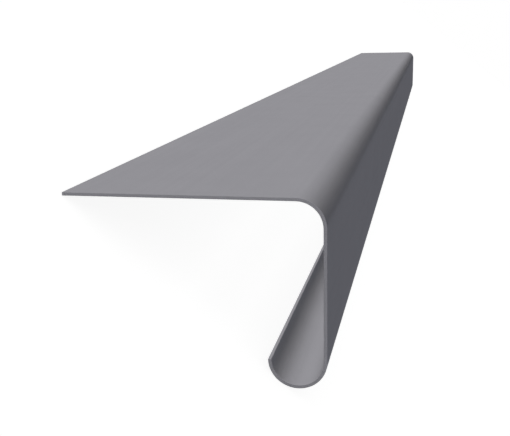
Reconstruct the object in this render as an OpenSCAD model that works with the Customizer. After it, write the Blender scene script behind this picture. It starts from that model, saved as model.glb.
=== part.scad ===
// Fascia drip trim: one strip of coated sheet, bent into a deck flange, a fascia leg
// and an open half-round drip hem. It lies as it comes to rest on a level floor, on the
// flange's free edge and the round of the hem. Sizes are in millimetres, +Z is up, the
// length runs along Y, and the origin is the middle of the footprint.

/* [Sheet] */
// Thickness of the sheet
sheet_t = 1; // [0.5:0.1:2]
// Length of the trim, from cut end to cut end
trim_len = 1000; // [200:50:3000]

/* [Flange] */
// Overall width of the flange, from its free edge to the leg's outer face
flange_w = 75.5; // [40:0.5:150]
// Inside radius of the bend between the flange and the leg
bend_r = 7.5; // [1:0.5:12]

/* [Leg] */
// Overall height of the leg, from the flange's top face to the lowest point of the hem
leg_h = 55; // [35:1:150]

/* [Hem] */
// Inside radius of the drip hem
hem_r = 7.4; // [3:0.1:12]
// Angle that the hem turns through, from the leg to its free lip
hem_sweep = 180; // [90:5:270]

/* [Hidden] */
$fn = 96;

// Outside radii of the two bends
bend_outer_r = bend_r + sheet_t;
hem_outer_r = hem_r + sheet_t;

// The section is drawn as it is fitted, flange level and leg plumb, with the origin where
// the flange's top face and the leg's outer face would meet in a sharp corner
bend_centre = [-bend_outer_r, -bend_outer_r];
hem_centre = [-hem_outer_r, hem_outer_r - leg_h];
flange_foot = [-flange_w, -sheet_t];
hem_lip = hem_centre + hem_outer_r * [cos(hem_sweep), -sin(hem_sweep)];

// Tilt at which it rests: the floor touches the flange's foot and either the round of the
// hem or, where the hem stops short of that point, its lip
hem_reach = hem_centre - flange_foot;
round_tilt = atan2(-hem_reach[1], hem_reach[0]) + asin(hem_outer_r / norm(hem_reach));
lip_reach = hem_lip - flange_foot;
lip_tilt = atan2(-lip_reach[1], lip_reach[0]);
rest_tilt = hem_sweep >= 90 + round_tilt ? round_tilt : lip_tilt;

// Where the tilted section reaches, to set it on the floor and centre it
foot_drop = flange_w * sin(rest_tilt) + sheet_t * cos(rest_tilt);
left_reach = -flange_w * cos(rest_tilt);
right_reach = hem_centre[0] * cos(rest_tilt) - hem_centre[1] * sin(rest_tilt) + hem_outer_r;

// A flat stretch of the sheet, from one corner of its section to the opposite one
module flat_run(from, to) {
    translate([from[0], from[1], 0])
        cube([to[0] - from[0], to[1] - from[1], trim_len]);
}

// A stretch of the sheet rolled about a centre, over an arc that starts at a given angle
module rolled_run(centre, inner_r, start, sweep) {
    translate([centre[0], centre[1], 0])
        rotate([0, 0, start])
            rotate_extrude(angle = sweep)
                translate([inner_r, 0])
                    square([sheet_t, trim_len]);
}

// The bent sheet, standing on its cut end with the section in the XY plane
module bent_sheet() {
    union() {
        flat_run([-flange_w, -sheet_t], [bend_centre[0], 0]);
        rolled_run(bend_centre, bend_r, 0, 90);
        flat_run([-sheet_t, hem_centre[1]], [0, bend_centre[1]]);
        rolled_run(hem_centre, hem_r, -hem_sweep, hem_sweep);
    }
}

module drip_trim() {
    color([0.576, 0.573, 0.592])
        translate([-(left_reach + right_reach) / 2, trim_len / 2, foot_drop])
            rotate([90, 0, 0])
                rotate([0, 0, rest_tilt])
                    bent_sheet();
}

drip_trim();
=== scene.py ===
from collections import namedtuple
from math import asin, atan2, cos, pi, radians, sin

import bmesh
import bpy
from mathutils import Matrix, Vector


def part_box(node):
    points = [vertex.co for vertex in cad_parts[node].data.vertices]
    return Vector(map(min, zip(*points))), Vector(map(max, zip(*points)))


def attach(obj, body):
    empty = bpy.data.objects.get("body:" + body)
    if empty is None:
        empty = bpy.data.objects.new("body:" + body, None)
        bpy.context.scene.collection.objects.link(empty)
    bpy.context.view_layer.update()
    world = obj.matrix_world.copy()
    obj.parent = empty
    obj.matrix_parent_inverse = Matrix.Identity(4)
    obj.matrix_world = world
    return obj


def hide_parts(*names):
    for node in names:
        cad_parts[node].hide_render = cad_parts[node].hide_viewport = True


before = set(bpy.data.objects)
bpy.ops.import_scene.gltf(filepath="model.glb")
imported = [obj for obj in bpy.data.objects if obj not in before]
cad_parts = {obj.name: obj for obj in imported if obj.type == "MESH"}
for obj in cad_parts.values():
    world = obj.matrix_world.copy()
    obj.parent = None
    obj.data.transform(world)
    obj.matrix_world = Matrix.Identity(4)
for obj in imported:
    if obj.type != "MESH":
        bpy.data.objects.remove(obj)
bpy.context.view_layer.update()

# Sizes of the trim's section as it is fitted, flange level and leg plumb: metres and radians
SHEET_T = 0.001
FLANGE_W = 0.0755
LEG_H = 0.055
BEND_R = 0.0075
HEM_R = 0.0074
HEM_SWEEP = pi

# The section's origin is where the flange's top and the leg's outer face would meet
BEND_OUTER_R = BEND_R + SHEET_T
HEM_OUTER_R = HEM_R + SHEET_T
BEND_CENTRE = Vector((-BEND_OUTER_R, -BEND_OUTER_R))
HEM_CENTRE = Vector((-HEM_OUTER_R, HEM_OUTER_R - LEG_H))

# The CAD node that the fine mesh stands for, and the places of its two cut ends
NODE = "drip_trim"
NEAR_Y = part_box(NODE)[0].y
FAR_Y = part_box(NODE)[1].y

# Tilt at which the trim lies on the floor, on the flange's free edge and the hem's round
HEM_REACH = HEM_CENTRE - Vector((-FLANGE_W, -SHEET_T))
REST_TILT = atan2(-HEM_REACH.y, HEM_REACH.x) + asin(HEM_OUTER_R / HEM_REACH.length)

# How finely the section and the length are divided
FLANGE_STEPS = 14
BEND_STEPS = 28
LEG_STEPS = 8
HEM_STEPS = 60
LENGTH_STEPS = 80

# Easing of the cut edges: its width in metres, and the sharpest turn that it leaves alone
EASE_WIDTH = 0.00012
EASE_TURN = radians(60)
EASE_SEGMENTS = 2

# Material slot of the cut edges; the coated faces have the one before it
CUT_EDGE_SLOT = 1

# The points' value that is 0 on the weather face of the sheet and 1 on its back
DEPTH = "depth"

# Coating: a linear colour, and the clear layer that gives its faint gloss
COAT_COLOUR = (0.291, 0.287, 0.309)
GLOSS = 0.02
GLOSS_ROUGHNESS = 0.45

# Noise is read between these two levels
NOISE_LOW = 0.3
NOISE_HIGH = 0.7

# Grains: their width in metres, how far they are drawn out along x, y and z, and their detail
MOTTLING = {"width": 0.02, "detail": 4}
STREAKS = {"width": 0.002, "stretch": (1, 120, 1), "detail": 3}
PEEL = {"width": 0.0015, "detail": 2}
GRIT = {"width": 0.0004, "detail": 2}
DRAG = {"width": 0.0006, "stretch": (1, 0.5, 1), "detail": 3}
CRUMBS = {"width": 0.00015, "detail": 3}

# How deep the grains are cut, in metres
PEEL_DEPTH = 0.00006
GRIT_DEPTH = 0.00005
CRUMB_DEPTH = 0.00008

# How far the grains change the colour, up and down, and the limits of the roughness
COAT_VARIATION = 0.03
COAT_ROUGHNESS = (0.6, 0.75)
CUT_VARIATION = 0.08
CUT_ROUGHNESS = (0.55, 0.8)

# Share of the streaks in the coating's unevenness, and of the drag marks in the cut edge's
STREAK_SHARE = 0.5
DRAG_SHARE = 0.5

# Lamps. Each direction points to the lamp from the fitted trim: x right, y away and z up.
# The key lights the flange and the near cut edge, the low lamp the leg and the underside,
# and the back lamp the far cut edge and the faces that the photo doesn't show
KEY_FROM = (-0.229, -0.406, 0.885)
KEY_LEVEL = 3.53
KEY_COLOUR = (1, 1, 1)
LOW_FROM = (0.607, -0.3, -0.736)
LOW_LEVEL = 1.92
LOW_COLOUR = (0.915, 0.937, 1)
BACK_FROM = (-0.355, 0.7, -0.615)
BACK_LEVEL = 1.6
BACK_COLOUR = (1, 1, 1)
LAMP_ANGLE = radians(25)
LAMP_BOUNCES = 0

# Colour of the surround and of the floor's glow
WHITE = (1, 1, 1, 1)

# Floor: the lamps light it and a glow makes it white. The shade is a painted shadow, the part of the glow
# that is lost where the object is closer than the reach. Sizes are in metres
FLOOR_SIZE = 30
FLOOR_COLOUR = (0.9, 0.9, 0.9, 1)
FLOOR_GLOW = 0.37
FLOOR_SHADE = 0.12
SHADE_REACH = 0.04

# Camera, as the photo sees the fitted trim: the eye's place from the near end's outer corner,
# its turn to the left, its nod down and its lean, and its focal length in the photo's pixels
EYE_RIGHT = 0.02565
EYE_BACK = 0.2022
EYE_UP = 0.0449
YAW = radians(12.607)
PITCH = radians(13.77)
ROLL = radians(-1.34)
PHOTO_WIDTH = 510
FOCAL_PIXELS = 790.4
SENSOR = 36
CLIP_START = 0.01

# A place along the section: its points on the sheet's weather face and on its back
Station = namedtuple("Station", "weather back")


def rest_attitude():
    """Matrix that lays the fitted section, x right and z up, on the floor of the row frame"""
    lift = FLANGE_W * sin(REST_TILT) + SHEET_T * cos(REST_TILT)
    left = -FLANGE_W * cos(REST_TILT)
    right = HEM_CENTRE.x * cos(REST_TILT) - HEM_CENTRE.y * sin(REST_TILT) + HEM_OUTER_R
    middle = (left + right) / 2
    return Matrix.Translation((-middle, 0, lift)) @ Matrix.Rotation(-REST_TILT, 4, "Y")


ATTITUDE = rest_attitude()


def show(name, data):
    """A new object in the scene"""
    thing = bpy.data.objects.new(name, data)
    bpy.context.scene.collection.objects.link(thing)
    return thing


def flat_run(start, end, steps):
    """Stations along a flat of the sheet"""
    along = (end - start).normalized()
    inward = Vector((along.y, -along.x)) * SHEET_T
    points = [start.lerp(end, k / steps) for k in range(steps + 1)]
    return [Station(p, p + inward) for p in points]


def rolled_run(centre, inner_r, start, sweep, steps):
    """Stations round a roll of the sheet, without the first, which the run before it ends on"""
    stations = []
    for k in range(1, steps + 1):
        a = start + sweep * k / steps
        ray = Vector((cos(a), sin(a)))
        stations.append(Station(centre + ray * (inner_r + SHEET_T), centre + ray * inner_r))
    return stations


def section_stations():
    """The section from the flange's free edge to the hem's lip"""
    flange = flat_run(Vector((-FLANGE_W, 0)), Vector((BEND_CENTRE.x, 0)), FLANGE_STEPS)
    bend = rolled_run(BEND_CENTRE, BEND_R, pi / 2, -pi / 2, BEND_STEPS)
    leg = flat_run(Vector((0, BEND_CENTRE.y)), Vector((0, HEM_CENTRE.y)), LEG_STEPS)[1:]
    hem = rolled_run(HEM_CENTRE, HEM_R, 0, -HEM_SWEEP, HEM_STEPS)
    return flange + bend + leg + hem


def section_rings(mesh):
    """The section's points in the row frame, at each step along the length"""
    depth = mesh.verts.layers.float.new(DEPTH)
    stations = section_stations()
    rings = []
    for j in range(LENGTH_STEPS + 1):
        y = NEAR_Y + (FAR_Y - NEAR_Y) * j / LENGTH_STEPS
        ring = []
        for station in stations:
            placed = Station(*(mesh.verts.new(ATTITUDE @ Vector((p.x, y, p.y))) for p in station))
            placed.weather[depth] = 0
            placed.back[depth] = 1
            ring.append(placed)
        rings.append(ring)
    return rings


def sheet_faces(mesh, rings):
    """Faces on both sides of the sheet and on its cut edges; gives back those of the cut edges"""
    last = len(rings[0]) - 1
    cut = []
    for ring, after in zip(rings, rings[1:]):
        for k in range(last):
            a, b, c, d = ring[k], ring[k + 1], after[k + 1], after[k]
            mesh.faces.new((a.weather, b.weather, c.weather, d.weather))
            mesh.faces.new((a.back, d.back, c.back, b.back))
        a, d = ring[0], after[0]
        cut.append(mesh.faces.new((a.back, a.weather, d.weather, d.back)))
        a, d = ring[last], after[last]
        cut.append(mesh.faces.new((a.weather, a.back, d.back, d.weather)))
    near, far = rings[0], rings[-1]
    for k in range(last):
        a, b = near[k], near[k + 1]
        cut.append(mesh.faces.new((a.weather, a.back, b.back, b.weather)))
        a, b = far[k], far[k + 1]
        cut.append(mesh.faces.new((a.weather, b.weather, b.back, a.back)))
    return cut


def ease_edges(sheet):
    """Round the sharp edges of the cuts a little"""
    ease = sheet.modifiers.new("eased_edges", "BEVEL")
    ease.width = EASE_WIDTH
    ease.segments = EASE_SEGMENTS
    ease.limit_method = "ANGLE"
    ease.angle_limit = EASE_TURN
    ease.harden_normals = True


def bent_sheet(name):
    """The trim as a fine mesh of quads, with its cut edges eased"""
    mesh = bmesh.new()
    for face in sheet_faces(mesh, section_rings(mesh)):
        face.material_index = CUT_EDGE_SLOT
    bmesh.ops.recalc_face_normals(mesh, faces=mesh.faces)
    data = bpy.data.meshes.new(name)
    mesh.to_mesh(data)
    mesh.free()
    data.shade_smooth()
    sheet = show(name, data)
    ease_edges(sheet)
    return sheet


def plug(tree, socket, value):
    """Link a node's input to the output of another, or set it to a plain value"""
    if isinstance(value, bpy.types.NodeSocket):
        tree.links.new(value, socket)
    else:
        socket.default_value = value


def add_node(tree, kind, **inputs):
    """A shader node and its inputs by name, where an underscore stands for a space"""
    node = tree.nodes.new("ShaderNode" + kind)
    for name, value in inputs.items():
        plug(tree, node.inputs[name.replace("_", " ")], value)
    return node


def calculate(tree, operation, *values):
    """Result of this operation on these values"""
    node = add_node(tree, "Math")
    node.operation = operation
    for socket, value in zip(node.inputs, values):
        plug(tree, socket, value)
    return node.outputs[0]


def new_material(name):
    material = bpy.data.materials.new(name)
    material.use_nodes = True
    tree = material.node_tree
    return material, tree, tree.nodes["Principled BSDF"]


def grain(tree, width, detail, stretch=(1, 1, 1)):
    """Noise with grains of this width, drawn out along each axis by the stretch"""
    spot = add_node(tree, "TexCoord").outputs["Object"]
    scale = [1 / (width * s) for s in stretch]
    placed = add_node(tree, "Mapping", Vector=spot, Scale=scale).outputs[0]
    return add_node(tree, "TexNoise", Vector=placed, Scale=1, Detail=detail).outputs[0]


def blend(tree, first, second, share):
    """Mean of two values, with this share of the second"""
    part = calculate(tree, "MULTIPLY", first, 1 - share)
    return calculate(tree, "MULTIPLY_ADD", second, share, part)


def shades(tree, noise, colour, variation):
    """Colour that runs from this much darker to this much lighter as the noise rises"""
    ramp = add_node(tree, "ValToRGB", Fac=noise)
    low, high = ramp.color_ramp.elements
    low.position = NOISE_LOW
    high.position = NOISE_HIGH
    low.color = [c * (1 - variation) for c in colour] + [1]
    high.color = [c * (1 + variation) for c in colour] + [1]
    return ramp.outputs["Color"]


def spread_out(tree, noise, low, high):
    """Noise spread to the range from low to high"""
    node = add_node(tree, "MapRange", Value=noise, To_Min=low, To_Max=high)
    node.inputs["From Min"].default_value = NOISE_LOW
    node.inputs["From Max"].default_value = NOISE_HIGH
    return node.outputs["Result"]


def relief(tree, height, depth, beneath=None):
    """Bump of this depth in metres, on top of another one where that is given"""
    node = add_node(tree, "Bump", Height=height, Distance=depth)
    if beneath:
        plug(tree, node.inputs["Normal"], beneath)
    return node.outputs["Normal"]


def matt_finish(tree, shader, colour, roughness, normal):
    """Matt surface under a thin clear layer, with its looks from these nodes"""
    tree.links.new(colour, shader.inputs["Base Color"])
    tree.links.new(roughness, shader.inputs["Roughness"])
    tree.links.new(normal, shader.inputs["Normal"])
    shader.inputs["Specular IOR Level"].default_value = 0
    shader.inputs["Coat Weight"].default_value = GLOSS
    shader.inputs["Coat Roughness"].default_value = GLOSS_ROUGHNESS


def coated_sheet():
    """Grey coating: soft mottling, streaks along the rolling direction, orange peel and fine grit"""
    material, tree, shader = new_material("coated_sheet")
    uneven = blend(tree, grain(tree, **MOTTLING), grain(tree, **STREAKS), STREAK_SHARE)
    colour = shades(tree, uneven, COAT_COLOUR, COAT_VARIATION)
    roughness = spread_out(tree, uneven, *COAT_ROUGHNESS)
    peel = relief(tree, grain(tree, **PEEL), PEEL_DEPTH)
    grit = relief(tree, grain(tree, **GRIT), GRIT_DEPTH, peel)
    matt_finish(tree, shader, colour, roughness, grit)
    return material


def cut_edge():
    """Sheared edge: a smooth band where the blade went in, a rough one where the sheet broke away"""
    material, tree, shader = new_material("cut_edge")
    depth = add_node(tree, "Attribute")
    depth.attribute_name = DEPTH
    broken = spread_out(tree, blend(tree, depth.outputs["Fac"], grain(tree, **DRAG), DRAG_SHARE), 0, 1)
    crumbs = grain(tree, **CRUMBS)
    colour = shades(tree, crumbs, COAT_COLOUR, CUT_VARIATION)
    roughness = spread_out(tree, broken, *CUT_ROUGHNESS)
    torn = relief(tree, calculate(tree, "MULTIPLY", broken, crumbs), CRUMB_DEPTH)
    matt_finish(tree, shader, colour, roughness, torn)
    return material


def shows_surround(tree):
    """1 for the rays that show the surround, those of the camera, of gloss and of glass, or else 0"""
    rays = add_node(tree, "LightPath").outputs
    seen = calculate(tree, "MAXIMUM", rays["Is Camera Ray"], rays["Is Glossy Ray"])
    return calculate(tree, "MAXIMUM", seen, rays["Is Transmission Ray"])


def pale_floor():
    """White floor: its lit colour and a glow that only shows, dimmed close to the object as a painted
    shadow
    """
    material, tree, shader = new_material("pale_floor")
    # Painted shadow: the glow is dimmed where the object closes in on the floor
    openness = add_node(tree, "AmbientOcclusion", Distance=SHADE_REACH).outputs["AO"]
    glow = calculate(tree, "MULTIPLY_ADD", openness, FLOOR_SHADE, FLOOR_GLOW)
    shader.inputs["Base Color"].default_value = FLOOR_COLOUR
    shader.inputs["Roughness"].default_value = 1
    shader.inputs["Specular IOR Level"].default_value = 0
    shader.inputs["Emission Color"].default_value = WHITE
    plug(tree, shader.inputs["Emission Strength"], calculate(tree, "MULTIPLY", glow, shows_surround(tree)))
    return material


def floor():
    half = FLOOR_SIZE / 2
    corners = [(-half, -half, 0), (half, -half, 0), (half, half, 0), (-half, half, 0)]
    data = bpy.data.meshes.new("floor")
    data.from_pydata(corners, [], [(0, 1, 2, 3)])
    data.materials.append(pale_floor())
    show("floor", data)


def soft_lamp(name, towards, strength, colour):
    """A lamp as far off as the sky, which casts no shadow and lights nothing by bounces"""
    data = bpy.data.lights.new(name, "SUN")
    data.energy = strength
    data.color = colour
    data.angle = LAMP_ANGLE
    data.use_shadow = False
    data.cycles.max_bounces = LAMP_BOUNCES
    direction = ATTITUDE.to_3x3() @ Vector(towards).normalized()
    lamp = show(name, data)
    lamp.rotation_mode = "QUATERNION"
    lamp.rotation_quaternion = direction.to_track_quat("Z", "Y")


def studio_light():
    """Lamps that shade a face by the way it points, and a white surround that lights nothing"""
    soft_lamp("key", KEY_FROM, KEY_LEVEL, KEY_COLOUR)
    soft_lamp("low", LOW_FROM, LOW_LEVEL, LOW_COLOUR)
    soft_lamp("back", BACK_FROM, BACK_LEVEL, BACK_COLOUR)
    world = bpy.data.worlds.new("studio")
    bpy.context.scene.world = world
    world.use_nodes = True
    surround = world.node_tree.nodes["Background"]
    surround.inputs["Color"].default_value = WHITE
    plug(world.node_tree, surround.inputs["Strength"], shows_surround(world.node_tree))


def camera():
    data = bpy.data.cameras.new("camera")
    data.sensor_width = SENSOR
    data.lens = FOCAL_PIXELS * SENSOR / PHOTO_WIDTH
    data.clip_start = CLIP_START
    eye = Matrix.Translation((EYE_RIGHT, NEAR_Y - EYE_BACK, EYE_UP))
    turn = Matrix.Rotation(YAW, 4, "Z")
    nod = Matrix.Rotation(pi / 2 - PITCH, 4, "X")
    lean = Matrix.Rotation(ROLL, 4, "Z")
    view = show("camera", data)
    view.matrix_world = ATTITUDE @ eye @ (turn @ nod @ lean)
    bpy.context.scene.camera = view


camera()
floor()
studio_light()
trim = bent_sheet("drip_trim_sheet")
trim.data.materials.append(coated_sheet())
trim.data.materials.append(cut_edge())
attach(trim, "root")
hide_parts(NODE)

bpy.context.scene.view_settings.view_transform = "Standard"
